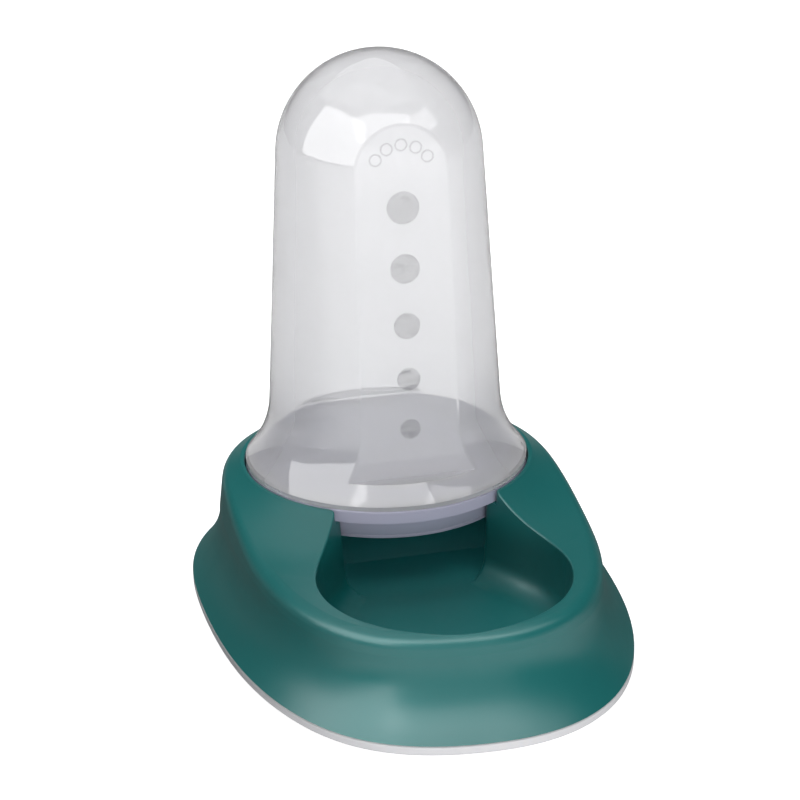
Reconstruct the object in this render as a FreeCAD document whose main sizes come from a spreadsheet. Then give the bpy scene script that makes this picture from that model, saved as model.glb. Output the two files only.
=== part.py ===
import FreeCAD, Part
import math
import os
import Sketcher
from FreeCAD import Placement, Rotation, Vector

# Gravity food dispenser: an open-fronted base with a round bowl, and a clear domed
# reservoir that stands on a twist-lock collar. Millimetres, +Z up. The origin is the
# middle of the footprint on the floor, and the animal eats from the -Y side.

# name, value, what it measures
DIMENSIONS = (
    ("foot_radius", 85.0, "reservoir's foot and collar's flange"),
    ("seat_gap", 0.8, "clearance round the collar in its seat"),
    ("seat_lip", 2.6, "flat width of the seat's rim"),
    ("side_margin", 15.9, "seat's rim to the top's edge at the sides"),
    ("back_margin", 12.1, "seat's rim to the top's edge at the back"),
    ("side_cove", 18.2, "how far the flank spreads below the top at the sides"),
    ("front_cove", 24.3, "how far it spreads at the front"),
    ("back_cove", 17.5, "how far it spreads at the back"),
    ("widest_lead", 22.0, "reservoir's axis back to the widest line of the footprint"),
    ("front_fullness", 2.48, "superellipse exponent of the footprint's front half"),
    ("back_fullness", 2.25, "superellipse exponent of its back half"),
    ("top_fullness", 2.65, "exponent of the front half at the top of the wall"),
    ("rim_height", 6.0, "height of the soft rim under the wall"),
    ("rim_width", 7.0, "how far the soft rim reaches inwards"),
    ("rim_bevel", 1.2, "bevel of the soft rim's outer edges"),
    ("housing_wall", 2.6, "wall of the moulded housing"),
    ("deck_height", 57.0, "flat top round the bowl"),
    ("upright_band", 11.0, "upright part of the wall under the deck"),
    ("wall_lean", 3.5, "how far that wall leans in at the sides up to the seat"),
    ("seat_rise", 17.0, "rim of the seat above the deck"),
    ("sweep_radius", 89.0, "hollow sweep from the deck up to the seat's rim"),
    ("crease_round", 8.0, "rounding where the top meets the wall"),
    ("bowl_radius", 72.0, "round front of the bowl at deck level"),
    ("bowl_setback", 136.0, "reservoir's axis to the bowl's centre"),
    ("bowl_margin", 6.7, "bowl's edge to the top's edge at the front"),
    ("neck_angle", 30.3, "each neck wall against the line of symmetry"),
    ("bowl_floor", 18.0, "height of the bowl's floor"),
    ("bowl_draft", 4.0, "draft of the bowl's walls"),
    ("bowl_round", 14.0, "rounding of the bowl's floor"),
    ("neck_round", 5.0, "rounding of the two neck corners"),
    ("mouth_round", 1.0, "rounding of the bowl's and the seat's edges"),
    ("ramp_start", 30.0, "reservoir's axis to the foot of the chamber's ramp"),
    ("ramp_clear", 6.7, "back of that ramp down from the end of the collar's spigot"),
    ("flange_depth", 8.0, "height of the collar's flange"),
    ("flange_web", 2.6, "thickness of the flange's top"),
    ("flange_round", 0.8, "rounding of the flange's upper edge"),
    ("flange_reach", 8.4, "flange's edge to the outside of the spigot"),
    ("rest_gap", 0.3, "clearance over and under the flange"),
    ("spigot_depth", 12.4, "spigot below the flange"),
    ("spigot_bead", 0.5, "bead round the spigot's lower edge"),
    ("collar_wall", 2.2, "wall of the collar"),
    ("ring_inset", 10.1, "foot's edge to the outside of the collar's upstand"),
    ("ring_height", 10.0, "upstand above the foot"),
    ("chute_start", 5.5, "chute's back edge above the foot"),
    ("chute_end", 5.0, "reservoir's axis to the chute's front edge"),
    ("dome_height", 250.0, "reservoir above its foot"),
    ("dome_wall", 2.2, "wall of the reservoir"),
    ("tube_inset", 13.3, "foot's edge to the tapered tube, produced down to the foot"),
    ("tube_taper", 3.45, "taper of the tube against its axis"),
    ("flare_radius", 60.0, "hollow flare from the tube to the foot"),
    ("foot_thickness", 2.6, "upright edge of the foot"),
    ("flat_inset", 6.3, "depth of the front and back flats in the tube"),
    ("flat_round", 4.0, "rounding round each flat"),
    ("flat_sweep", 100.0, "radius of the flats' outward sweep near the foot"),
    ("flat_turn", 35.0, "height above the foot where that sweep starts"),
    ("flat_ledge", 13.2, "height of the ledge that ends each flat"),
    ("mark_count", 5, "level marks"),
    ("mark_low", 12.0, "diameter of the lowest mark"),
    ("mark_high", 19.0, "diameter of the highest mark"),
    ("mark_base", 41.3, "centre of the lowest mark above the foot"),
    ("mark_headroom", 47.3, "centre of the highest mark below the flat's arch"),
    ("mark_depth", 0.4, "depth of a mark"),
    ("lug_count", 4, "lugs of the twist lock"),
    ("lug_span", 26.0, "angle that a lug fills"),
    ("lug_reach", 3.6, "how far a lug stands out of the upstand"),
    ("lug_height", 2.0, "height of a lug"),
    ("lug_gap", 0.4, "clearance of a lug all round"),
    ("lock_margin", 4.0, "angle of lip between a locked lug and its notch"),
    ("stop_span", 3.0, "angle of a stop rib"),
)

# name, formula over the cells above it, what it works out
WORKED_OUT = (
    ("seat_bore", "foot_radius + seat_gap", "radius of the seat"),
    ("seat_edge", "seat_bore + seat_lip", "outside of the seat's rim"),
    ("seat_height", "deck_height + seat_rise", "rim of the seat, level with the reservoir's foot"),
    ("seat_ledge", "seat_height - flange_depth", "ledge that carries the flange"),
    ("cove_top", "deck_height - upright_band", "height where the hollow flank turns upright"),
    ("half_width", "seat_edge + side_margin + side_cove", "half the footprint's width"),
    ("back_reach", "seat_edge + back_margin + back_cove + widest_lead",
     "widest line to the back of the footprint"),
    ("front_reach", "bowl_setback + bowl_radius + bowl_margin + front_cove - widest_lead",
     "widest line to the front of the footprint"),
    ("seat_y", "(front_reach + widest_lead - back_reach + widest_lead) / 2",
     "reservoir's axis behind the middle of the footprint"),
    ("ramp_rise", "seat_ledge - spigot_depth - ramp_clear - bowl_floor",
     "climb of the chamber's ramp from the bowl's floor"),
    ("spigot_radius", "foot_radius - flange_reach", "outside of the collar's spigot"),
    ("chamber_bore", "spigot_radius + spigot_bead + seat_gap", "radius of the chamber"),
    ("ring_radius", "foot_radius - ring_inset", "outside of the collar's upstand"),
    ("tube_radius", "foot_radius - tube_inset", "tapered tube, produced down to the foot"),
    ("cap_radius", "(tube_radius * cos(tube_taper * 1 deg) - dome_height * sin(tube_taper * 1 deg))"
                   " / (1 - sin(tube_taper * 1 deg))", "round top, tangent to the tube"),
    ("flare_out", "tube_radius + flare_radius * cos(tube_taper * 1 deg) - foot_radius",
     "edge of the foot out to the flare's centre, before it slides up the tube"),
    ("flare_up", "flare_radius * sin(tube_taper * 1 deg) - foot_thickness",
     "edge of the foot up to that same centre"),
    ("flare_along", "flare_up * cos(tube_taper * 1 deg) - flare_out * sin(tube_taper * 1 deg)",
     "the part of both that runs along the tube"),
    ("flare_slide", "sqrt(flare_along ^ 2 - flare_out ^ 2 - flare_up ^ 2 + flare_radius ^ 2)"
                    " - flare_along", "slide up the tube that brings the flare to the edge"),
    ("flare_meets", "tube_radius - flare_slide * sin(tube_taper * 1 deg)",
     "radius where the flare meets the tube"),
    ("flare_top", "flare_slide * cos(tube_taper * 1 deg)", "height of that meeting above the foot"),
    ("flat_foot", "tube_radius - flat_inset", "axis to a flat, produced down to the foot"),
    ("cap_to_flat", "flat_foot * cos(tube_taper * 1 deg)"
                    " - (dome_height - cap_radius) * sin(tube_taper * 1 deg)",
     "centre of the round top to a flat"),
    ("flat_top", "dome_height - cap_radius + cap_to_flat * sin(tube_taper * 1 deg)"
                 " + sqrt(cap_radius ^ 2 - cap_to_flat ^ 2) * cos(tube_taper * 1 deg)",
     "top of a flat's arch above the foot"),
    ("mark_gap", "(flat_top - mark_headroom - mark_base) / (mark_count - 1)"
                 " - (mark_low + mark_high) / 2", "clear space between marks"),
    ("lip_bore", "ring_radius + lug_gap", "opening of the foot's lip"),
    ("gap_angle", "lug_gap / (ring_radius + lug_reach) * 180 / pi", "angle of a lug's clearance"),
    ("twist_travel", "lug_span + lock_margin", "turn from locked to open"),
)

OUTLINE_POINTS = 16
COVE_STATIONS = 5
HIGH = 400.0

os.makedirs("parts", exist_ok=True)
doc = FreeCAD.newDocument("GravityFoodDispenser")
sheet = doc.addObject("Spreadsheet::Sheet", "Sizes")
for row, (alias, value, meaning) in enumerate(DIMENSIONS + WORKED_OUT, start=1):
    sheet.set(f"A{row}", meaning)
    sheet.set(f"B{row}", f"={value}")
    sheet.setAlias(f"B{row}", alias)
    doc.recompute()


def size(expression):
    """Value of an expression over the sheet's cells."""
    return float(sheet.evalExpression(expression))


def sz(alias):
    return size("Sizes." + alias)


def new_body(name):
    return doc.addObject("PartDesign::Body", name)


def new_sketch(body, name, role, shift=("0", "0", "0")):
    """Empty sketch on one of the body's own origin planes, moved by three expressions."""
    sketch = body.newObject("Sketcher::SketchObject", name)
    plane = [item for item in body.Origin.OriginFeatures if item.Role == role][0]
    sketch.AttachmentSupport = [(plane, "")]
    sketch.MapMode = "FlatFace"
    for axis, expression in zip("xyz", shift):
        sketch.setExpression(f".AttachmentOffset.Base.{axis}", expression)
    return sketch


def pin_corner(sketch, index, end, corner):
    """Tie one end of an edge to the two expressions of its corner."""
    for kind, axis_line, expression in zip(("DistanceX", "DistanceY"), (-2, -1), corner):
        if expression == "0":
            sketch.addConstraint(Sketcher.Constraint("PointOnObject", index, end, axis_line))
        else:
            number = sketch.addConstraint(
                Sketcher.Constraint(kind, index, end, size(expression)))
            sketch.setExpression(f"Constraints[{number}]", expression)


def draw_profile(sketch, corners, bends=None):
    """Closed outline through corners given as expressions.

    bends maps the number of a corner to (radius, side, wide): the edge that leaves
    that corner is an arc, side says whether it bulges to the left (1) or to the right
    (-1), and wide says that it is more than half a circle.
    """
    bends = bends or {}
    points = [Vector(size(x), size(y), 0) for x, y in corners]
    ends = []
    for number, start in enumerate(points):
        finish = points[(number + 1) % len(points)]
        if number in bends:
            radius, side, wide = bends[number]
            chord = finish - start
            across = Vector(-chord.y, chord.x, 0).normalize() * side
            reach = size(radius)
            middle = math.sqrt(reach ** 2 - (chord.Length / 2) ** 2)
            rise = reach + middle if wide else reach - middle
            top = (start + finish) / 2 + across * rise
            arc = Part.ArcOfCircle(start, top, finish)
            index = sketch.addGeometry(arc, False)
            drawn = sketch.getPoint(index, 1)
            first, last = (1, 2) if (drawn - start).Length < (drawn - finish).Length else (2, 1)
            bend = sketch.addConstraint(Sketcher.Constraint("Radius", index, reach))
            sketch.setExpression(f"Constraints[{bend}]", radius)
        else:
            index = sketch.addGeometry(Part.LineSegment(start, finish), False)
            first, last = 1, 2
        ends.append((index, first, last))
    for number, (index, first, last) in enumerate(ends):
        following = ends[(number + 1) % len(ends)]
        sketch.addConstraint(
            Sketcher.Constraint("Coincident", index, last, following[0], following[1]))
        pin_corner(sketch, index, first, corners[number])


def revolve(body, sketch, name, kind="PartDesign::Revolution"):
    feature = body.newObject(kind, name)
    feature.Profile = sketch
    feature.ReferenceAxis = (sketch, ["V_Axis"])
    feature.Angle = 360.0
    return feature


def combine(kind, name, *shapes):
    """Boolean of two pieces, or of as many as a Multi boolean is given."""
    feature = doc.addObject(kind, name)
    if "Multi" in kind:
        feature.Shapes = list(shapes)
    else:
        feature.Base, feature.Tool = shapes
    return feature


def round_edges(name, base, radius, wanted, kind="Part::Fillet"):
    """Fillet or chamfer on every edge of the base that the test accepts."""
    doc.recompute()
    feature = doc.addObject(kind, name)
    feature.Base = base
    feature.Edges = [(number, radius, radius)
                     for number, edge in enumerate(base.Shape.Edges, start=1) if wanted(edge)]
    return feature


def footprint(drawn_in, skin):
    """Egg-shaped outline: two half superellipses that meet at the widest line.

    drawn_in runs from 0 at the foot of the wall to 1 where it turns upright, and
    skin is a wall's thickness to stay inside.
    """
    across = sz("half_width") - drawn_in * sz("side_cove") - skin
    forward = sz("front_reach") - drawn_in * sz("front_cove") - skin
    backward = sz("back_reach") - drawn_in * sz("back_cove") - skin
    widest_y = sz("seat_y") - sz("widest_lead")
    front_power = sz("front_fullness") * (1 - drawn_in) + sz("top_fullness") * drawn_in
    points = []
    for number in range(OUTLINE_POINTS):
        turn = 2 * math.pi * number / OUTLINE_POINTS
        reach, power = (forward, front_power)
        if math.cos(turn) < 0:
            reach, power = (backward, sz("back_fullness"))
        sideways = abs(math.sin(turn)) / across
        lengthways = abs(math.cos(turn)) / reach
        radius = (sideways ** power + lengthways ** power) ** (-1 / power)
        points.append(Vector(radius * math.sin(turn), widest_y - radius * math.cos(turn), 0))
    curve = Part.BSplineCurve()
    curve.interpolate(Points=points, PeriodicFlag=True)
    return curve


def skirt_form(name, skin, drop):
    """Solid under the housing's skin: hollow flank, then the swept top cut from above."""
    body = new_body(name)
    stations = []
    for number in range(COVE_STATIONS):
        climb = number / (COVE_STATIONS - 1)
        height = f"Sizes.rim_height + {climb} * (Sizes.cove_top - Sizes.rim_height)"
        station = new_sketch(body, f"{name}_station_{number}", "XY_Plane", ("0", "0", height))
        station.addGeometry(footprint(1 - (1 - climb) ** 2, size(skin)), False)
        stations.append(station)
    flank = body.newObject("PartDesign::AdditiveLoft", name + "_flank")
    flank.Profile = stations[0]
    flank.Sections = stations[1:]
    above = "(Sizes.seat_height + 10)"
    lean = f"Sizes.wall_lean * ({above} - Sizes.cove_top) / (Sizes.seat_height - Sizes.cove_top)"
    upright_end = new_sketch(body, name + "_upright_end", "XY_Plane", ("0", "0", above))
    upright_end.addGeometry(footprint(1 + size(lean) / sz("side_cove"), size(skin)), False)
    upright = body.newObject("PartDesign::AdditiveLoft", name + "_upright")
    upright.Profile = stations[-1]
    upright.Sections = [upright_end]
    upright.Ruled = True
    top = new_sketch(body, name + "_top", "XZ_Plane", ("0", "0", "-Sizes.seat_y"))
    rim = f"Sizes.seat_height - {drop}"
    deck = f"Sizes.deck_height - {drop}"
    run = "sqrt(Sizes.sweep_radius ^ 2 - (Sizes.sweep_radius - Sizes.seat_rise) ^ 2)"
    corners = (("0", rim), ("Sizes.seat_edge", rim), (f"Sizes.seat_edge + {run}", deck),
               (str(HIGH), deck), (str(HIGH), str(HIGH)), ("0", str(HIGH)))
    draw_profile(top, corners, {1: ("Sizes.sweep_radius", -1, False)})
    revolve(body, top, name + "_sweep", "PartDesign::Groove")
    return body


def bowl_section(body, name, grow, inner):
    """Half section of the bowl: flat floor, rounded corner and drafted wall."""
    section = new_sketch(body, name, "XZ_Plane")
    draft = "(Sizes.bowl_draft * 1 deg)"
    floor = f"(Sizes.bowl_floor - {grow})"
    top = "(Sizes.seat_height + 10)"
    sharp = f"(Sizes.bowl_radius + {grow} - (Sizes.deck_height - {floor}) * tan({draft}))"
    bend = f"(Sizes.bowl_round + {grow})"
    centre = f"({sharp} - {bend} * (1 - sin({draft})) / cos({draft}))"
    corners = ((inner, floor), (centre, floor),
               (f"{centre} + {bend} * cos({draft})", f"{floor} + {bend} * (1 - sin({draft}))"),
               (f"{sharp} + ({top} - {floor}) * tan({draft})", top), (inner, top))
    draw_profile(section, corners, {1: (bend, -1, False)})
    return section


def bowl_form(name, grow):
    """Air of the bowl: a turned front, and two neck walls that leave it on a tangent."""
    centre = "Sizes.seat_y - Sizes.bowl_setback"
    front = new_body(name + "_front")
    revolve(front, bowl_section(front, name + "_front_section", grow, "0"), name + "_front_turned")
    front.setExpression(".Placement.Base.y", centre)
    side = new_body(name + "_side")
    run = side.newObject("PartDesign::Pad", name + "_side_run")
    run.Profile = bowl_section(side, name + "_side_section", grow, "-2 * Sizes.bowl_radius")
    run.setExpression("Length", "(Sizes.bowl_setback - Sizes.ramp_start) * cos(Sizes.neck_angle * 1 deg)"
                                " - Sizes.housing_wall")
    run.Reversed = True
    side.Placement = Placement(Vector(0, size(centre), 0),
                               Rotation(Vector(0, 0, 1), sz("neck_angle")))
    side.setExpression(".Placement.Base.y", centre)
    side.setExpression(".Placement.Rotation.Angle", "Sizes.neck_angle")
    other = doc.addObject("Part::Mirroring", name + "_other_side")
    other.Source = side
    other.Normal = Vector(1, 0, 0)
    neck = combine("Part::MultiCommon", name + "_neck", side, other)
    return combine("Part::MultiFuse", name, front, neck)


def chamber_form(name, grow):
    """Air under the reservoir: the seat's counterbore, and a chamber with a ramped floor."""
    body = new_body(name)
    section = new_sketch(body, name + "_section", "XZ_Plane", ("0", "0", "-Sizes.seat_y"))
    bore = f"Sizes.chamber_bore + {grow}"
    seat = f"Sizes.seat_bore + {grow}"
    floor = f"Sizes.bowl_floor - {grow}"
    ledge = f"Sizes.seat_ledge - {grow}"
    above = "Sizes.seat_height + 10"
    draw_profile(section, (("0", floor), (bore, floor), (bore, ledge), (seat, ledge),
                           (seat, above), ("0", above)))
    revolve(body, section, name + "_bores")
    wedge = new_sketch(body, name + "_ramp_section", "YZ_Plane")
    foot = "Sizes.seat_y - Sizes.ramp_start"
    back = "Sizes.seat_y + Sizes.seat_bore"
    below = f"{floor} - 10"
    draw_profile(wedge, ((foot, floor), (foot, below), (back, below),
                         (back, f"{floor} + Sizes.ramp_rise")))
    ramp = body.newObject("PartDesign::Pocket", name + "_ramp")
    ramp.Profile = wedge
    ramp.Midplane = True
    ramp.Length = 2 * HIGH
    return body


def is_crease(edge, drop=0):
    """Edge between the swept top and the upright wall, or the same in the hollow under it."""
    box = edge.BoundBox
    raised = box.ZMin > sz("deck_height") - drop - 0.1
    return (raised and edge.Curve.TypeId == "Part::GeomBSplineCurve"
            and box.ZMax < sz("seat_height") - drop - 1)


def is_neck_corner(edge):
    """Upright edge where a neck wall meets the seat's or the chamber's bore."""
    box = edge.BoundBox
    tall = box.ZLength > sz("spigot_depth")
    return tall and edge.Curve.TypeId == "Part::GeomEllipse" and box.YMax < sz("seat_y") - sz("ramp_start")


def breaks_through(edge, air):
    """Edge at the top of the housing where the bowl or the seat opens, or the rim's outside."""
    middle = edge.valueAt((edge.FirstParameter + edge.LastParameter) / 2)
    if middle.z < sz("deck_height") - 0.1 or abs(middle.z - sz("seat_ledge")) < 0.1:
        return False
    if edge.Curve.TypeId == "Part::GeomCircle" and edge.Curve.Radius > sz("seat_bore") + 1:
        return edge.Curve.Radius < sz("seat_edge") + 1
    return air.distToShape(Part.Vertex(middle))[0] < 0.01


def build_base_housing():
    form = round_edges("housing_rounded", skirt_form("housing_form", "0", "0"),
                       sz("crease_round"), is_crease)
    air = combine("Part::MultiFuse", "air", bowl_form("bowl_air", "0"),
                  chamber_form("chamber_air", "0"))
    air_rounded = round_edges("air_rounded", air, sz("neck_round"), is_neck_corner)
    wall = "Sizes.housing_wall"
    tub = combine("Part::MultiFuse", "tub", bowl_form("bowl_tub", wall),
                  chamber_form("chamber_tub", wall))
    thick = sz("housing_wall")
    inside = round_edges("hollow_rounded", skirt_form("hollow_form", wall, wall),
                         sz("crease_round") - thick, lambda edge: is_crease(edge, thick))
    hollow = combine("Part::Cut", "hollow", inside, tub)
    opened = combine("Part::Cut", "opened", form, air_rounded)
    doc.recompute()
    softened = round_edges("softened", opened, sz("mouth_round"),
                           lambda edge: breaks_through(edge, air_rounded.Shape))
    housing = combine("Part::Cut", "base_housing", softened, hollow)
    # The bowl's floor and the chamber's are level, and merging them is what can fail.
    for step in (tub, hollow, housing):
        step.Refine = False
    return housing


def is_rim_edge(edge):
    """Upper or lower outer edge of the soft rim."""
    return edge.BoundBox.XLength > 2 * sz("half_width") - sz("rim_width")


def build_anti_slip_rim():
    body = new_body("rim_ring")
    outer = new_sketch(body, "rim_outer", "XY_Plane")
    outer.addGeometry(footprint(0, 0), False)
    band = body.newObject("PartDesign::Pad", "rim_band")
    band.Profile = outer
    band.setExpression("Length", "Sizes.rim_height")
    inner = new_sketch(body, "rim_inner", "XY_Plane", ("0", "0", "Sizes.rim_height"))
    inner.addGeometry(footprint(0, sz("rim_width")), False)
    hole = body.newObject("PartDesign::Pocket", "rim_hole")
    hole.Profile = inner
    hole.setExpression("Length", "Sizes.rim_height")
    return round_edges("anti_slip_rim", body, sz("rim_bevel"), is_rim_edge, "Part::Chamfer")


TAPER = "(Sizes.tube_taper * 1 deg)"
LUG_FLOOR = "(Sizes.foot_thickness + Sizes.lug_gap)"
SPIGOT_END = "(-Sizes.flange_depth - Sizes.spigot_depth)"


def dome_form(name, skin, foot):
    """Reservoir's turned form, a skin inside its outside, on the corners of its foot."""
    body = new_body(name)
    section = new_sketch(body, name + "_section", "XZ_Plane")
    cap = f"(Sizes.cap_radius - {skin})"
    corners = foot + (
        (f"Sizes.flare_meets - {skin} * cos({TAPER})", f"Sizes.flare_top - {skin} * sin({TAPER})"),
        (f"{cap} * cos({TAPER})", f"Sizes.dome_height - Sizes.cap_radius + {cap} * sin({TAPER})"),
        ("0", f"Sizes.dome_height - {skin}"))
    draw_profile(section, corners, {len(foot) - 1: (f"(Sizes.flare_radius + {skin})", 1, False),
                                    len(foot) + 1: (cap, -1, False)})
    revolve(body, section, name + "_turned")
    return body


def cut_flats(body, name, skin):
    """Front and back flats: straight up the tube, and swept outwards above the foot."""
    section = new_sketch(body, name + "_flat_section", "YZ_Plane")
    turn = f"(Sizes.flat_foot - Sizes.flat_turn * tan({TAPER}))"
    centre = f"({turn} + Sizes.flat_sweep * cos({TAPER}))"
    level = f"(Sizes.flat_turn + Sizes.flat_sweep * sin({TAPER}))"
    sweep = f"(Sizes.flat_sweep + {skin})"
    ledge = f"(Sizes.flat_ledge - {skin})"
    top = "(Sizes.dome_height + 10)"
    corners = ((f"{centre} - sqrt({sweep} ^ 2 - ({level} - {ledge}) ^ 2)", ledge),
               (f"{turn} - {skin} * cos({TAPER})", f"Sizes.flat_turn - {skin} * sin({TAPER})"),
               (f"Sizes.flat_foot - {skin} / cos({TAPER}) - {top} * tan({TAPER})", top),
               (str(HIGH), top), (str(HIGH), ledge))
    draw_profile(section, corners, {0: (sweep, 1, False)})
    flat = body.newObject("PartDesign::Pocket", name + "_flat")
    flat.Profile = section
    flat.Midplane = True
    flat.Length = 2 * HIGH
    both = body.newObject("PartDesign::Mirrored", name + "_flats")
    both.Originals = [flat]
    both.MirrorPlane = (origin_item(body, "XZ_Plane"), [""])
    body.Tip = both


def origin_item(body, role):
    return [item for item in body.Origin.OriginFeatures if item.Role == role][0]


def draw_sector(sketch, inner, outer, start, finish):
    """Piece of a ring between two radii and two angles, given as expressions in degrees."""
    corners = [(f"{radius} * cos({angle} * 1 deg)", f"{radius} * sin({angle} * 1 deg)")
               for radius, angle in ((inner, start), (outer, start), (outer, finish), (inner, finish))]
    draw_profile(sketch, corners, {1: (outer, -1, False), 3: (inner, 1, False)})


def repeat_round(body, feature, name):
    """Repeat a feature once for each lug."""
    pattern = body.newObject("PartDesign::PolarPattern", name)
    pattern.Originals = [feature]
    pattern.Axis = (origin_item(body, "Z_Axis"), [""])
    pattern.Angle = 360
    pattern.setExpression("Occurrences", "Sizes.lug_count")
    body.Tip = pattern


def press_marks(body):
    """Row of round level marks, growing upwards, pressed into the front flat."""
    sketch = new_sketch(body, "marks_sketch", "XZ_Plane")
    sketch.AttachmentOffset = Placement(Vector(), Rotation(Vector(-1, 0, 0), sz("tube_taper")))
    sketch.setExpression(".AttachmentOffset.Base.z", "Sizes.flat_foot")
    sketch.setExpression(".AttachmentOffset.Rotation.Angle", "Sizes.tube_taper")
    for number in range(int(sz("mark_count"))):
        across = (f"(Sizes.mark_low + {number} * (Sizes.mark_high - Sizes.mark_low)"
                  " / (Sizes.mark_count - 1))")
        height = (f"(Sizes.mark_base + {number} * (Sizes.mark_gap"
                  f" + (Sizes.mark_low + {across}) / 2)) / cos({TAPER})")
        centre = Vector(0, size(height), 0)
        index = sketch.addGeometry(
            Part.Circle(centre, Vector(0, 0, 1), size(across) / 2), False)
        sketch.addConstraint(Sketcher.Constraint("PointOnObject", index, 3, -2))
        for kind, ends, expression in (("Diameter", (index,), across),
                                       ("DistanceY", (index, 3), height)):
            pinned = sketch.addConstraint(Sketcher.Constraint(kind, *ends, size(expression)))
            sketch.setExpression(f"Constraints[{pinned}]", expression)
    marks = body.newObject("PartDesign::Pocket", "marks")
    marks.Profile = sketch
    marks.setExpression("Length", "Sizes.mark_depth")


def is_flat_side(edge):
    """Edge up the side of a flat, or round its arch."""
    if edge.Degenerated or edge.Closed or edge.Curve.TypeId == "Part::GeomLine":
        return False
    middle = edge.valueAt((edge.FirstParameter + edge.LastParameter) / 2)
    raised = edge.BoundBox.ZLength > 1 and middle.z > sz("flat_ledge") + 1
    aside = abs(edge.Vertexes[-1].X) > sz("mark_high")
    return raised and aside and abs(middle.y) > sz("cap_radius") / 2


def build_reservoir_dome():
    """Clear reservoir: outside minus inside, with the notched lip of its twist lock."""
    outside = dome_form("dome_outside", "0", (
        ("0", "0"), ("Sizes.foot_radius", "0"), ("Sizes.foot_radius", "Sizes.foot_thickness")))
    cut_flats(outside, "dome_outside", "0")
    press_marks(outside)

    wall = "Sizes.dome_wall"
    centre = f"(Sizes.flare_meets + Sizes.flare_radius * cos({TAPER}))"
    level = f"(Sizes.flare_top + Sizes.flare_radius * sin({TAPER}) - Sizes.foot_thickness)"
    flare = f"{centre} - sqrt((Sizes.flare_radius + {wall}) ^ 2 - {level} ^ 2)"
    inside = dome_form("dome_inside", wall, (
        ("0", "-1"), ("Sizes.lip_bore", "-1"), ("Sizes.lip_bore", "Sizes.foot_thickness"),
        (flare, "Sizes.foot_thickness")))
    cut_flats(inside, "dome_inside", wall)

    notch_sketch = new_sketch(inside, "notch_sketch", "XY_Plane", ("0", "0", "-1"))
    half = "(Sizes.lug_span / 2 + Sizes.gap_angle)"
    draw_sector(notch_sketch, "(Sizes.lip_bore - 3)", "(Sizes.lip_bore + Sizes.lug_reach)",
                f"(Sizes.twist_travel - {half})", f"(Sizes.twist_travel + {half})")
    notch = inside.newObject("PartDesign::Pad", "notch")
    notch.Profile = notch_sketch
    notch.setExpression("Length", "Sizes.foot_thickness + 2")
    repeat_round(inside, notch, "notches")

    for name, start in (("locked_stop", f"(-{half} - Sizes.stop_span)"),
                        ("open_stop", f"(Sizes.twist_travel + {half})")):
        stop_sketch = new_sketch(inside, name + "_sketch", "XY_Plane",
                                 ("0", "0", f"{LUG_FLOOR} + Sizes.lug_height"))
        draw_sector(stop_sketch, "Sizes.lip_bore", "Sizes.foot_radius",
                    start, f"({start} + Sizes.stop_span)")
        stop = inside.newObject("PartDesign::Pocket", name)
        stop.Profile = stop_sketch
        stop.setExpression("Length", "Sizes.lug_gap + Sizes.lug_height")
    outer_skin = round_edges("outer_skin", outside, sz("flat_round"), is_flat_side)
    inner_skin = round_edges("inner_skin", inside, sz("flat_round") - sz("dome_wall"),
                             is_flat_side)
    return combine("Part::Cut", "reservoir_dome", outer_skin, inner_skin)


def collar_section(body):
    """Flange over the seat's ledge, spigot below it and upstand inside the reservoir."""
    section = new_sketch(body, "collar_section", "XZ_Plane")
    bore = "Sizes.spigot_radius - Sizes.collar_wall"
    bead = "Sizes.spigot_radius + Sizes.spigot_bead"
    skirt = "Sizes.foot_radius - Sizes.collar_wall"
    top = "-Sizes.rest_gap"
    under = "-Sizes.rest_gap - Sizes.flange_web"
    corners = ((bore, SPIGOT_END), (bead, SPIGOT_END),
               (bead, f"{SPIGOT_END} + 2 * Sizes.spigot_bead"),
               ("Sizes.spigot_radius", f"{SPIGOT_END} + 3 * Sizes.spigot_bead"),
               ("Sizes.spigot_radius", under), (skirt, under),
               (skirt, "Sizes.rest_gap - Sizes.flange_depth"),
               ("Sizes.foot_radius", "Sizes.rest_gap - Sizes.flange_depth"),
               ("Sizes.foot_radius", f"{top} - Sizes.flange_round"),
               ("Sizes.foot_radius - Sizes.flange_round", top), ("Sizes.ring_radius", top),
               ("Sizes.ring_radius", "Sizes.ring_height"),
               ("Sizes.ring_radius - Sizes.collar_wall", "Sizes.ring_height"),
               ("Sizes.ring_radius - Sizes.collar_wall", under), (bore, under))
    draw_profile(section, corners, {8: ("Sizes.flange_round", -1, False)})
    return section


def chute_plate():
    """Sloping floor that sends the food forwards, cut to the middle of the collar's walls."""
    slab = new_body("chute_slab")
    section = new_sketch(slab, "chute_section", "YZ_Plane")
    back = "Sizes.ring_radius - Sizes.collar_wall / 2"
    draw_profile(section, (
        ("-Sizes.chute_end", SPIGOT_END), (back, "Sizes.chute_start - Sizes.collar_wall"),
        (back, "Sizes.chute_start"), ("-Sizes.chute_end", f"{SPIGOT_END} + Sizes.collar_wall")))
    slope = slab.newObject("PartDesign::Pad", "chute_slope")
    slope.Profile = section
    slope.Midplane = True
    slope.Length = HIGH
    core = new_body("chute_core")
    outline = new_sketch(core, "core_section", "XZ_Plane")
    step = "-Sizes.rest_gap - Sizes.flange_web / 2"
    wide = "Sizes.spigot_radius - Sizes.collar_wall / 2"
    draw_profile(outline, (("0", SPIGOT_END), (wide, SPIGOT_END), (wide, step), (back, step),
                           (back, "Sizes.ring_height"), ("0", "Sizes.ring_height")))
    revolve(core, outline, "core_turned")
    return combine("Part::MultiCommon", "chute", slab, core)


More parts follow.
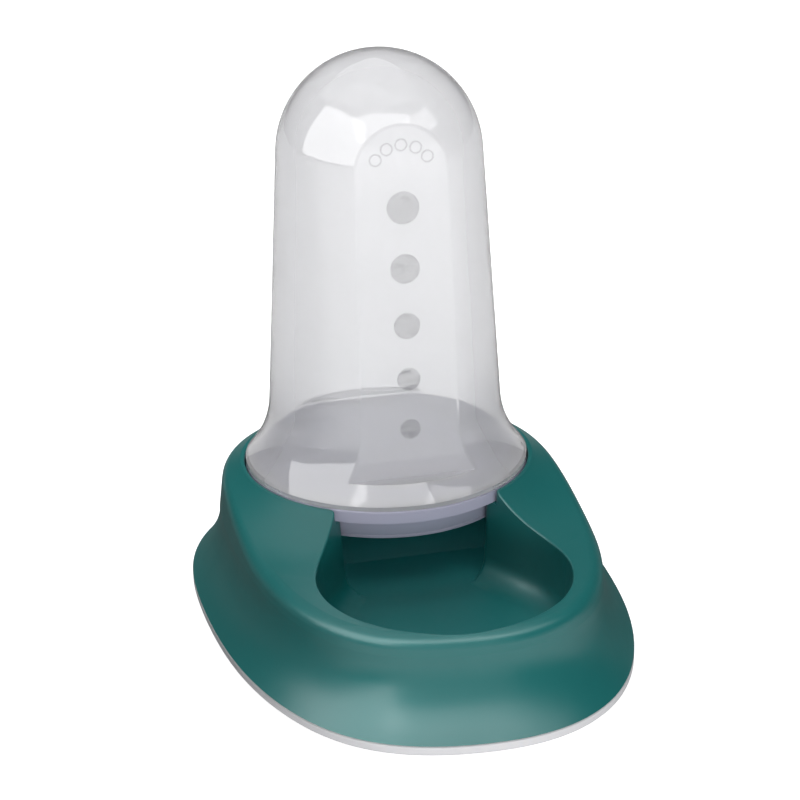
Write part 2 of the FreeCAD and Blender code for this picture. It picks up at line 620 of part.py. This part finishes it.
def build_dispensing_collar():
    ring = new_body("collar_ring")
    revolve(ring, collar_section(ring), "collar_turned")
    lug_sketch = new_sketch(ring, "lug_sketch", "XY_Plane", ("0", "0", LUG_FLOOR))
    draw_sector(lug_sketch, "(Sizes.ring_radius - Sizes.collar_wall / 2)",
                "(Sizes.ring_radius + Sizes.lug_reach)",
                "(-Sizes.lug_span / 2)", "(Sizes.lug_span / 2)")
    lug = ring.newObject("PartDesign::Pad", "lug")
    lug.Profile = lug_sketch
    lug.setExpression("Length", "Sizes.lug_height")
    repeat_round(ring, lug, "lugs")
    return combine("Part::MultiFuse", "dispensing_collar", ring, chute_plate())


def check_and_export(pieces):
    """Stop on any broken step, then write one file for each piece."""
    doc.recompute()
    broken = [item.Name for item in doc.Objects
              if "Invalid" in item.State or "Error" in item.State]
    if broken:
        raise RuntimeError(f"steps that failed: {broken}")
    for name, piece in pieces.items():
        shape = piece.Shape
        if shape.isNull() or not shape.isValid() or len(shape.Solids) != 1:
            raise RuntimeError(f"{name} is not one sound solid")
    for name, piece in pieces.items():
        piece.Label = name
        piece.Shape.exportStep(f"parts/{name}.step")
        box = piece.Shape.BoundBox
        print(f"{name}: {piece.Shape.Volume / 1000:.1f} cm3, z {box.ZMin:.1f} to {box.ZMax:.1f}")


pieces = {
    "base_housing": build_base_housing(),
    "anti_slip_rim": build_anti_slip_rim(),
    "reservoir_dome": build_reservoir_dome(),
    "dispensing_collar": build_dispensing_collar(),
}
for name in ("reservoir_dome", "dispensing_collar"):
    pieces[name].setExpression(".Placement.Base.y", "Sizes.seat_y")
    pieces[name].setExpression(".Placement.Base.z", "Sizes.seat_height")
check_and_export(pieces)
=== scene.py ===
# %% [markdown]
# # A gravity food dispenser, dressed for its photograph
# The solid model arrives as a fixed frame: every moulding is already in its place, in
# metres, with +Z up and the bowl towards -Y. What is left for Blender is what a solid
# model can't say: how each plastic takes the light, the printed marks, and the studio.

# %% Load the frame
import math

import bmesh
import bpy
from mathutils import Matrix, Vector


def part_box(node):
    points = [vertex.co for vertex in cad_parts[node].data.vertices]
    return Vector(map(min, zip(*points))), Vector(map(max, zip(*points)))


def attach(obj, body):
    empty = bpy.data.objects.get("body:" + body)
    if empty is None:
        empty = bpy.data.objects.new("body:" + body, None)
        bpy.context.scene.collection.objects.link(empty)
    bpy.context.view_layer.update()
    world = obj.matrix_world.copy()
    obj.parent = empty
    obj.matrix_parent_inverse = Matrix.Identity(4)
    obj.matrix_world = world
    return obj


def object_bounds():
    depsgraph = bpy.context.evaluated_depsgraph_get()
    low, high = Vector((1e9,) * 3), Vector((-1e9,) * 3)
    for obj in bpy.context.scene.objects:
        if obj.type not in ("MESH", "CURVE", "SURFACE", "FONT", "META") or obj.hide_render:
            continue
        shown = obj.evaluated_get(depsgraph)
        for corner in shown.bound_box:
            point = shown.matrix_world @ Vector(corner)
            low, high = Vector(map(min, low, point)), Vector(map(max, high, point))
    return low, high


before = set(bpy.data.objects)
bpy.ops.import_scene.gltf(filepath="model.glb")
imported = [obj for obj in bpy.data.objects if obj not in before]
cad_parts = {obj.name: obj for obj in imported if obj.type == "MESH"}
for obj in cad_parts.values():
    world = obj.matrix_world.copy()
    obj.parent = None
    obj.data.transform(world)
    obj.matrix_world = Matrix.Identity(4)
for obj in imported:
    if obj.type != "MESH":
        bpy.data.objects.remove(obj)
cad_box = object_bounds()
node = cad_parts
for name in node:
    low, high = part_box(name)
    print(name, [round(1000 * side) for side in high - low], "mm")

# %% [markdown]
# ## The camera
# A long lens from a metre and a half keeps the walls of the reservoir nearly parallel,
# as in the photograph. The camera's place is worked out from the reservoir's foot: two
# angles turn it round that point, and a small roll tilts the horizon. Building the
# matrix from its three axes is surer than stacking rotations, because each column is a
# direction that can be checked on paper.

# %% Where the camera stands
AZIMUTH = math.radians(-13.226)
ELEVATION = math.radians(23.346)
ROLL = math.radians(-1.182)
DISTANCE = 1.5
AIM_RIGHT = 0.00847
AIM_UP = 0.03226
UPRIGHT = Vector((0, 0, 1))

dome_low, dome_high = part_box("reservoir_dome")
foot = Vector(((dome_low.x + dome_high.x) / 2, (dome_low.y + dome_high.y) / 2, dome_low.z))


def level_axes(back, roll):
    """Right and up of a camera that looks against back, turned by its roll."""
    right = UPRIGHT.cross(back).normalized()
    over = back.cross(right)
    return (math.cos(roll) * right + math.sin(roll) * over,
            math.cos(roll) * over - math.sin(roll) * right)


towards = Vector((math.sin(AZIMUTH) * math.cos(ELEVATION),
                  -math.cos(AZIMUTH) * math.cos(ELEVATION), math.sin(ELEVATION)))
eye = foot + DISTANCE * towards
right, over = level_axes(towards, ROLL)
aim = foot + AIM_RIGHT * right + AIM_UP * over
print("the camera stands at", [round(value, 3) for value in eye],
      "and looks at", [round(value, 3) for value in aim])

# %% Camera
FOCAL_PIXELS = 2472.04
PICTURE_PIXELS = 800
SENSOR = 36

back = (eye - aim).normalized()
right, over = level_axes(back, ROLL)
axes = Matrix((right, over, back)).transposed()
lens = bpy.data.cameras.new("studio_camera")
lens.sensor_width = SENSOR
lens.lens = FOCAL_PIXELS / PICTURE_PIXELS * SENSOR
camera = bpy.data.objects.new("studio_camera", lens)
camera.matrix_world = Matrix.Translation(eye) @ axes.to_4x4()
bpy.context.scene.collection.objects.link(camera)
bpy.context.scene.camera = camera
print("its lens is", round(lens.lens, 1), "mm long")

# %% [markdown]
# ## Building materials
# Each plastic is a small node tree. Clicking nodes together is quick once, but code can
# be read back, and a finish that three pieces share is written only once. These helpers
# empty a tree, add a node and fill its sockets, and join two sockets. They take a
# material or the world alike, because both carry a node tree.

# %% Node helpers


def start_tree(owner, output):
    """Empty the tree of a material or the world and give it its output node."""
    owner.use_nodes = True
    owner.node_tree.nodes.clear()
    return add(owner, output)


def add(owner, kind, **settings):
    """One node; a setting is a socket's name with _ for spaces, or a property."""
    made = owner.node_tree.nodes.new("ShaderNode" + kind)
    for key, value in settings.items():
        socket = made.inputs.get(key.replace("_", " "))
        if socket is None:
            setattr(made, key, value)
        else:
            socket.default_value = value
    return made


def join(owner, source, out, target, into):
    owner.node_tree.links.new(source.outputs[out], target.inputs[into])


# %% [markdown]
# ## Patterns on the skin
# Real plastic is never even: its gloss drifts and its skin is pitted or rippled. Both
# come from noise that is read in Object coordinates. The pieces stand untransformed at
# the origin, so a scale of 1000 simply means "about a millimetre", and the pattern stays
# on the piece when it moves.

# %% Pattern helpers
MIDDLE_BAND = (0.3, 0.7)


def noise(material, scale, detail=3.0):
    """Noise over the object's own metres."""
    place = add(material, "TexCoord")
    texture = add(material, "TexNoise", Scale=scale, Detail=detail)
    join(material, place, "Object", texture, "Vector")
    return texture


def stretch(material, source, out, span, onto):
    """Map a span of values onto another span, and stop at its ends."""
    made = add(material, "MapRange", From_Min=span[0], From_Max=span[1],
               To_Min=onto[0], To_Max=onto[1])
    join(material, source, out, made, "Value")
    return made


def vary_roughness(material, shader, texture, low, high):
    """Let a noise's middle band carry the roughness from low to high."""
    band = stretch(material, texture, "Fac", MIDDLE_BAND, (low, high))
    join(material, band, "Result", shader, "Roughness")


def raise_skin(material, shader, texture, strength, depth):
    """Let a noise lift the skin by up to depth."""
    bump = add(material, "Bump", Strength=strength, Distance=depth)
    join(material, texture, "Fac", bump, "Height")
    join(material, bump, "Normal", shader, "Normal")


# %% [markdown]
# ## Moulded plastic
# The housing is a satin moulding. Its mould was spark-eroded, which leaves a skin of
# tiny pits: up close it breaks the highlights, from afar it only widens them. A fine
# noise drives the bump, and a slow one lets the tint and the gloss wander a little, the
# way a real moulding cools unevenly. The collar is a finer satin, the rim a dull soft
# plastic, and one function makes all three.

# %% Satin plastic
SATIN_IOR = 1.5
DRIFT_SCALE = 14.0
DRIFT_DOWN = 0.03
DRIFT_UP = 0.04
PIT_DETAIL = 2.0
PIT_STRENGTH = 0.35


def satin_plastic(name, colour, deeper, roughness, pits, pit_depth):
    """A colour that drifts towards a deeper one, under a skin of pits."""
    material = bpy.data.materials.new(name)
    output = start_tree(material, "OutputMaterial")
    shader = add(material, "BsdfPrincipled", IOR=SATIN_IOR)
    join(material, shader, "BSDF", output, "Surface")
    cloud = noise(material, DRIFT_SCALE)
    tint = add(material, "Mix", data_type="RGBA", A=(*colour, 1), B=(*deeper, 1))
    join(material, cloud, "Fac", tint, "Factor")
    join(material, tint, 2, shader, "Base Color")
    vary_roughness(material, shader, cloud, roughness - DRIFT_DOWN, roughness + DRIFT_UP)
    raise_skin(material, shader, noise(material, pits, PIT_DETAIL), PIT_STRENGTH, pit_depth)
    return material


def dress(piece, material):
    piece.data.materials.clear()
    piece.data.materials.append(material)


# %% Three satin pieces
teal = satin_plastic("satin_teal", colour=(0.006, 0.125, 0.122), deeper=(0.005, 0.108, 0.106),
                     roughness=0.32, pits=2600, pit_depth=0.00006)
grey = satin_plastic("satin_grey", colour=(0.45, 0.44, 0.56), deeper=(0.43, 0.42, 0.54),
                     roughness=0.34, pits=2600, pit_depth=0.00004)
white = satin_plastic("soft_white", colour=(0.66, 0.66, 0.68), deeper=(0.63, 0.63, 0.65),
                      roughness=0.62, pits=1900, pit_depth=0.00008)

for name, plastic in (("base_housing", teal), ("anti_slip_rim", white),
                      ("dispensing_collar", grey)):
    dress(node[name], plastic)
    print(name, "wears", plastic.name)

# %% [markdown]
# ## The clear reservoir
# Clear feeders are rarely glass-clear. The plastic is slightly milky: most light goes
# straight through, a little scatters in the wall, and the skin still mirrors the
# lamps. A transmissive shader gives the first and the last, and leaving a small part
# of it to plain diffuse colour gives the veil. A faint smoke inside the wall darkens the
# light that runs along it, which draws the edges. A ray that only asks whether a lamp is
# in sight passes through the wall, dimmed, so the collar inside stays lit.

# %% Milky clear plastic
CLEAR_IOR = 1.49
CLEAR_SHARE = 0.72
VEIL = (0.89, 0.89, 0.90, 1)
SHADE = (0.40, 0.40, 0.41, 1)
SMOKE = (0.35, 0.35, 0.38, 1)
SMOKE_DENSITY = 6.0
WALL_SCALE = 11.0
WALL_ROUGHNESS = (0.03, 0.05)
RIPPLE_SCALE = 30.0
RIPPLE_DETAIL = 1.0
RIPPLE_STRENGTH = 0.08
RIPPLE_DEPTH = 0.0004


def mix_shaders(owner, share, out, plain, other):
    """Go from one shader to another as the share grows from 0 to 1."""
    mixed = add(owner, "MixShader")
    join(owner, share, out, mixed, 0)
    join(owner, plain, 0, mixed, 1)
    join(owner, other, 0, mixed, 2)
    return mixed


def clear_plastic(name):
    """A milky wall with a little smoke in it, which shadow rays pass."""
    material = bpy.data.materials.new(name)
    output = start_tree(material, "OutputMaterial")
    shader = add(material, "BsdfPrincipled", Base_Color=VEIL, IOR=CLEAR_IOR,
                 Transmission_Weight=CLEAR_SHARE)
    dimmed = add(material, "BsdfTransparent", Color=SHADE)
    ray = add(material, "LightPath")
    wall = mix_shaders(material, ray, "Is Shadow Ray", shader, dimmed)
    join(material, wall, "Shader", output, "Surface")
    smoke = add(material, "VolumeAbsorption", Color=SMOKE, Density=SMOKE_DENSITY)
    join(material, smoke, "Volume", output, "Volume")
    vary_roughness(material, shader, noise(material, WALL_SCALE), *WALL_ROUGHNESS)
    raise_skin(material, shader, noise(material, RIPPLE_SCALE, RIPPLE_DETAIL),
               RIPPLE_STRENGTH, RIPPLE_DEPTH)
    return material


clear = clear_plastic("milky_clear")
dress(node["reservoir_dome"], clear)
print(node["reservoir_dome"].name, "wears", clear.name)

# %% [markdown]
# ## Translucent ink
# The marks are printed thinly, so the wall behind them shows through. Alpha does that
# more simply than a second transmissive skin, which would bend the light once more. A
# fine noise in the roughness gives the print its dry, powdery look.

# %% Translucent ink
INK = (0.25, 0.25, 0.255, 1)
INK_IOR = 1.45
INK_ALPHA = 0.16
SPECKLE_SCALE = 900.0
INK_ROUGHNESS = (0.45, 0.6)

grey_ink = bpy.data.materials.new("grey_ink")
output = start_tree(grey_ink, "OutputMaterial")
shader = add(grey_ink, "BsdfPrincipled", Base_Color=INK, IOR=INK_IOR, Alpha=INK_ALPHA)
join(grey_ink, shader, "BSDF", output, "Surface")
vary_roughness(grey_ink, shader, noise(grey_ink, SPECKLE_SCALE), *INK_ROUGHNESS)
print("each face of the print lets", round(100 * (1 - INK_ALPHA)), "% of the light pass")

# %% [markdown]
# ## Level marks
# Five round marks are pressed into the front flat, larger towards the top. The print in
# them is a thin disc. It could be painted on the wall with a mask, but a disc of its own
# keeps a sharp edge at any distance. Each one starts as a circle, gets a little
# thickness, and is then tilted with the flat and slid to its height.

# %% Shape of the front flat
TAPER = math.radians(3.45)
TUBE_RADIUS = 0.0717
FLAT_INSET = 0.0063

flat_frame = (Matrix.Translation(foot + Vector((0, FLAT_INSET - TUBE_RADIUS, 0)))
              @ Matrix.Rotation(math.radians(90) - TAPER, 4, "X"))


def on_flat(height, sideways=0.0, depth=0.0):
    """Matrix that carries a shape drawn flat at the origin onto the front flat."""
    return flat_frame @ Matrix.Translation((sideways, height / math.cos(TAPER), -depth))


def finish_piece(name, shape, material, body, smooth=True):
    """Turn a bmesh into an object that rides on a body."""
    bmesh.ops.recalc_face_normals(shape, faces=shape.faces)
    for face in shape.faces:
        face.smooth = smooth
    mesh = bpy.data.meshes.new(name)
    shape.to_mesh(mesh)
    shape.free()
    piece = bpy.data.objects.new(name, mesh)
    bpy.context.scene.collection.objects.link(piece)
    dress(piece, material)
    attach(piece, body)


print("the flat leans", round(math.degrees(TAPER), 2), "degrees")

# %% Discs
MARKS = 5
MARK_LOW = 0.012
MARK_HIGH = 0.019
MARK_GAP = 0.0173
MARK_BASE = 0.0413
MARK_SIDES = 64
PRESSED = 0.0004
PRINT = 0.0002
PRINT_MARGIN = 0.00005

for number in range(MARKS):
    across = MARK_LOW + number * (MARK_HIGH - MARK_LOW) / (MARKS - 1)
    height = MARK_BASE + number * (MARK_GAP + (MARK_LOW + across) / 2)
    disc = bmesh.new()
    bmesh.ops.create_circle(disc, cap_ends=True, segments=MARK_SIDES,
                            radius=across / 2 - PRINT_MARGIN)
    raised = bmesh.ops.extrude_face_region(disc, geom=disc.faces[:])
    top = [item for item in raised["geom"] if isinstance(item, bmesh.types.BMVert)]
    bmesh.ops.translate(disc, verts=top, vec=(0, 0, PRINT))
    bmesh.ops.transform(disc, verts=disc.verts, matrix=on_flat(height, depth=PRESSED))
    finish_piece(f"level_mark_{number + 1}", disc, grey_ink, "reservoir",
                 smooth=False)
    print("mark", number + 1, round(1000 * across, 1), "mm across,",
          round(1000 * height, 1), "mm up")

# %% [markdown]
# ## A row of pellets
# A short arched row of raised rings, like a handful of food pellets, crowns the marks
# under the arch of the flat. A torus could be added ready-made, but spinning a small
# circle round the upright axis shows how one comes about, and leaves the number of its
# faces free. The whole ring is then carried to its place on the arch.

# %% Pellet rings
PELLETS = 5
PELLET_RADIUS = 0.0033
PELLET_WIRE = 0.0005
WIRE_SIDES = 10
RING_STEPS = 40
ARCH_RADIUS = 0.0185
ARCH_STEP = math.radians(27)
ARCH_HEIGHT = 0.190

upright_circle = (Matrix.Translation((PELLET_RADIUS, 0, 0))
                  @ Matrix.Rotation(math.radians(90), 4, "X"))
for number in range(PELLETS):
    turn = (number - (PELLETS - 1) / 2) * ARCH_STEP
    ring = bmesh.new()
    bmesh.ops.create_circle(ring, segments=WIRE_SIDES, radius=PELLET_WIRE,
                            matrix=upright_circle)
    bmesh.ops.spin(ring, geom=ring.edges[:] + ring.verts[:], cent=(0, 0, 0), axis=(0, 0, 1),
                   angle=math.radians(360), steps=RING_STEPS, use_merge=True)
    place = on_flat(ARCH_HEIGHT + ARCH_RADIUS * math.cos(turn), ARCH_RADIUS * math.sin(turn))
    bmesh.ops.transform(ring, verts=ring.verts, matrix=place)
    finish_piece(f"pellet_ring_{number + 1}", ring, grey_ink, "reservoir")
print(PELLETS, "rings on an arch", round(2000 * ARCH_RADIUS), "mm across")

# %% [markdown]
# ## The floor
# The photograph's floor is pure white. A white floor would also throw white light back
# at the housing and wash out its deep colour, where a photographer would lay black
# paper just outside the picture. So the floor glows white to the eye, and beside and
# behind the object it turns dull for rays that have left a skin. In front it stays
# white, because the front flank does mirror a pale floor.

# %% Ray helpers


def even(value):
    """A grey as a colour with full alpha."""
    return (value, value, value, 1)


def calculate(owner, operation, first, second, **settings):
    """A Math node fed by two pairs of a node and its output."""
    made = add(owner, "Math", operation=operation, **settings)
    join(owner, *first, made, 0)
    join(owner, *second, made, 1)
    return made


def either(owner, first, second):
    """1 for a ray to which one of two Light Path answers applies, else 0."""
    ray = add(owner, "LightPath")
    return calculate(owner, "ADD", (ray, first), (ray, second), use_clamp=True)


# %% Floor material
FLOOR_GREY = 0.5
FLOOR_ROUGHNESS = 0.7
FLOOR_GLOW = 0.86
DULL_GREY = 0.10
FRONT_EDGE = (-0.25, -0.05)
FAR_EDGE = (0.40, 0.55)
FAR_SHARE = 0.78


def floor_material():
    """White to the eye, dull to bounced rays beside and behind the object."""
    material = bpy.data.materials.new("pale_floor")
    output = start_tree(material, "OutputMaterial")
    glowing = add(material, "BsdfPrincipled", Base_Color=even(FLOOR_GREY),
                  Roughness=FLOOR_ROUGHNESS, Emission_Color=even(1),
                  Emission_Strength=FLOOR_GLOW)
    dull = add(material, "BsdfDiffuse", Color=even(DULL_GREY))
    place = add(material, "TexCoord")
    axes = add(material, "SeparateXYZ")
    join(material, place, "Object", axes, "Vector")
    behind = stretch(material, axes, "Y", FRONT_EDGE, (0, 1))
    reach = add(material, "VectorMath", operation="LENGTH")
    join(material, place, "Object", reach, 0)
    near = stretch(material, reach, "Value", FAR_EDGE, (1, FAR_SHARE))
    area = calculate(material, "MULTIPLY", (behind, "Result"), (near, "Result"))
    bounced = either(material, "Is Diffuse Ray", "Is Reflection Ray")
    share = calculate(material, "MULTIPLY", (area, "Value"), (bounced, "Value"))
    seen = mix_shaders(material, share, "Value", glowing, dull)
    join(material, seen, "Shader", output, "Surface")
    return material


# %% Floor
FLOOR_HALF = 6
FLOOR_GAP = 0.0002

ground = bmesh.new()
bmesh.ops.create_grid(ground, x_segments=1, y_segments=1, size=FLOOR_HALF)
sweep = bpy.data.meshes.new("floor")
ground.to_mesh(sweep)
ground.free()
floor = bpy.data.objects.new("floor", sweep)
floor.location.z = cad_box[0][2] - FLOOR_GAP
bpy.context.scene.collection.objects.link(floor)
dress(floor, floor_material())
print("the floor is", 2 * FLOOR_HALF, "m square")

# %% [markdown]
# ## The lamps
# Boxes give light and cards give highlights. One lamp could do both, but then every
# change of the light would move a highlight. A wide box behind the object lights the
# deck and leaves the bowl in the reservoir's shade, one high in front and one low in
# front lift the front flank, and a weak one stands on the left. The cards are seen only
# in mirror-like skins: the one on the left draws the white patch on the reservoir's
# shoulder, those in front the sheen on the flank.

# %% Lamp helpers


def around(azimuth, distance, height):
    """A point round the reservoir; azimuth 0 is in front, positive to the right."""
    turn = math.radians(azimuth)
    return Vector((foot.x + distance * math.sin(turn), foot.y - distance * math.cos(turn),
                   height))


def hang(name, place, target, size, power, lights, mirrored):
    """Rectangular lamp turned to its target, which neither camera nor glass shows."""
    lamp = bpy.data.lights.new(name, "AREA")
    lamp.shape = "RECTANGLE"
    lamp.size, lamp.size_y = size
    lamp.energy = power
    stand = bpy.data.objects.new(name, lamp)
    stand.location = place
    stand.rotation_euler = (Vector(place) - Vector(target)).to_track_quat("Z", "Y").to_euler()
    stand.visible_diffuse = lights
    stand.visible_glossy = mirrored
    stand.visible_camera = stand.visible_transmission = False
    bpy.context.scene.collection.objects.link(stand)
    print(name, "hangs at", [round(value, 2) for value in stand.location])


def light_box(name, place, target, size, power):
    hang(name, place, target, size, power, lights=True, mirrored=False)


def card(name, place, target, size, power):
    hang(name, place, target, size, power, lights=False, mirrored=True)


# %% Lamps
middle = around(0, 0, 0.3)
light_box("key_box", around(-78, 0.9, 1.0), middle, size=(1.1, 0.9), power=2)
card("key_card", around(-68, 0.8, 0.74), around(0, 0, 0.74), size=(1.16, 0.94), power=17)
card("front_card", around(-8, 0.85, 1.05), foot, size=(1.25, 0.6), power=10)
card("low_card", around(-10, 1.2, 0.38), around(0, 0, 0.2), size=(1.4, 0.62), power=2.6)
card("shoulder_card", around(46, 0.8, 0.87), middle, size=(0.6, 0.34), power=2)
light_box("front_box", around(10, 1.0, 1.8), foot, size=(1.3, 0.8), power=15)
light_box("low_box", around(0, 1.7, 0.12), foot, size=(1.6, 0.2), power=10)
light_box("top_box", around(180, 0.9, 1.9), foot, size=(2.0, 2.0), power=46)
card("top_card", (-0.1, 0.3, 1.9), foot, size=(2.0, 2.4), power=12)

# %% [markdown]
# ## The surround
# Beyond the lamps the eye sees a white backdrop, also through the clear reservoir. A
# ray that has left a skin finds a dark room instead, as it would in a studio, where
# only the lamps shine. Counting a ray's diffuse and glossy bounces tells the two apart,
# and passing through the clear wall doesn't count as one.

# %% Surround
BACKDROP_GLOW = 0.88
ROOM_GLOW = 0.07

world = bpy.data.worlds.new("surround")
output = start_tree(world, "OutputWorld")
backdrop = add(world, "Background", Color=even(1), Strength=BACKDROP_GLOW)
room = add(world, "Background", Color=even(1), Strength=ROOM_GLOW)
bounced = either(world, "Diffuse Depth", "Glossy Depth")
seen = mix_shaders(world, bounced, "Value", backdrop, room)
join(world, seen, "Shader", output, "Surface")
bpy.context.scene.world = world
bpy.context.scene.view_settings.view_transform = "Standard"
print("the backdrop glows at", BACKDROP_GLOW, "and the room at", ROOM_GLOW)
